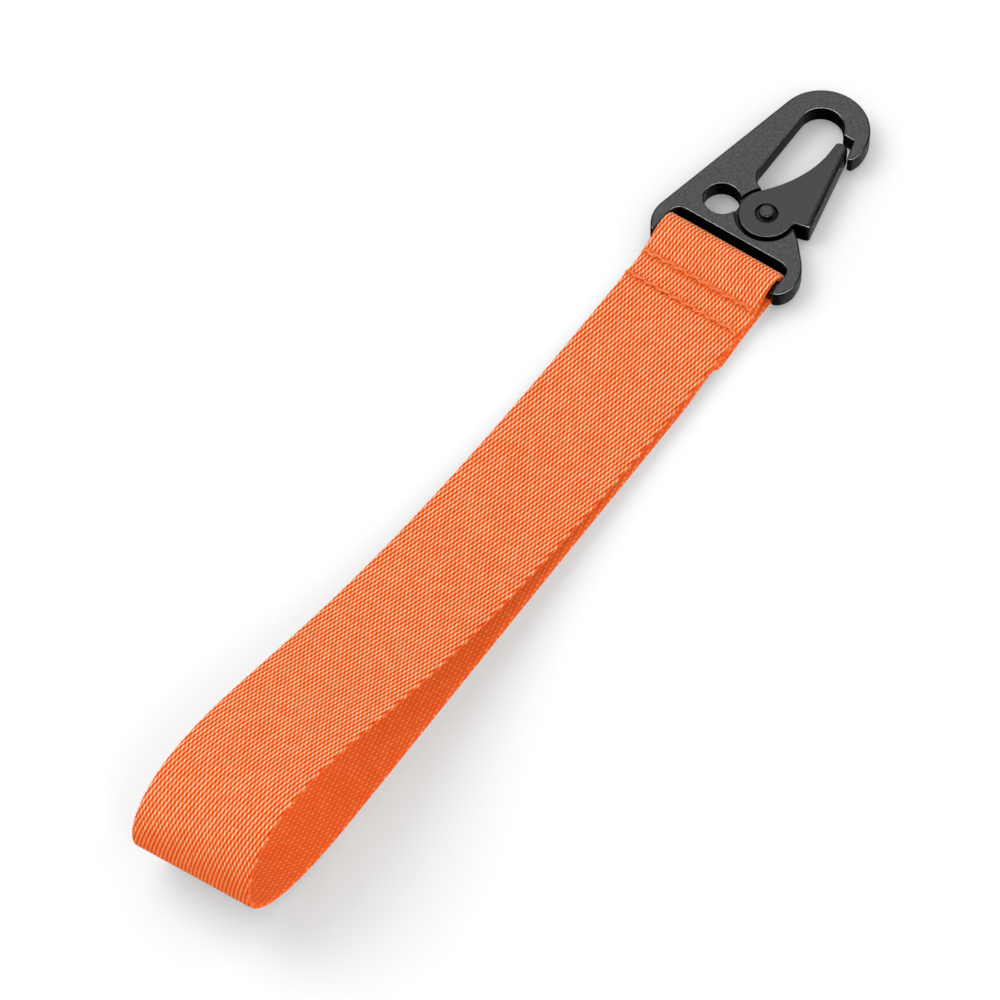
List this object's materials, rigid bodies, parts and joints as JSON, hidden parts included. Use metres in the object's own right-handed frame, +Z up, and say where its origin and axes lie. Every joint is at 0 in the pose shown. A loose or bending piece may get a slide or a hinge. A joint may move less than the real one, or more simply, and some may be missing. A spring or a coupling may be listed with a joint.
{
  "type": "carabiner keyring",
  "caption": "Flat snap hook with a sprung gate on a sewn wrist loop of orange webbing; clips to a ring, belt loop or bag.",
  "frame": {"origin": "on the resting plane, under the middle of the bar that the webbing turns on", "axes": "+X across the webbing towards the gate's side, +Y from the loop towards the hook, +Z up"},
  "size_m": [0.0312, 0.211, 0.0313],
  "materials": {
    "black_casting": "satin",
    "black_sheet": "satin",
    "black_rivet": "satin",
    "spring_steel": "plain",
    "orange_webbing": "twill weave",
    "orange_thread": "twisted thread"
  },
  "bodies": {
    "wrist_loop": {"webbing_strap": "orange_webbing", "needle_thread_front": "orange_thread", "bobbin_thread_front": "orange_thread", "needle_thread_rear": "orange_thread", "bobbin_thread_rear": "orange_thread"},
    "snap_hook": {"hook_frame": "black_casting", "pivot_rivet": "black_rivet", "torsion_spring": "spring_steel"},
    "gate": {"gate_lever": "black_sheet"}
  },
  "joints": [
    {"name": "hook_swing", "type": "hinge", "parent": "wrist_loop", "child": "snap_hook", "pos_m": [0, 0, 0.0034], "axis": [1, 0, 0], "range_deg": [-105, 105]},
    {"name": "gate_hinge", "type": "hinge", "parent": "snap_hook", "child": "gate", "pos_m": [0.0026, 0.01235, 0.0034], "axis": [0, 0, 1], "range_deg": [0, 21], "stiffness_Nm_per_rad": 0.06, "springref_deg": -20.05, "deforming": ["torsion_spring"]}
  ]
}
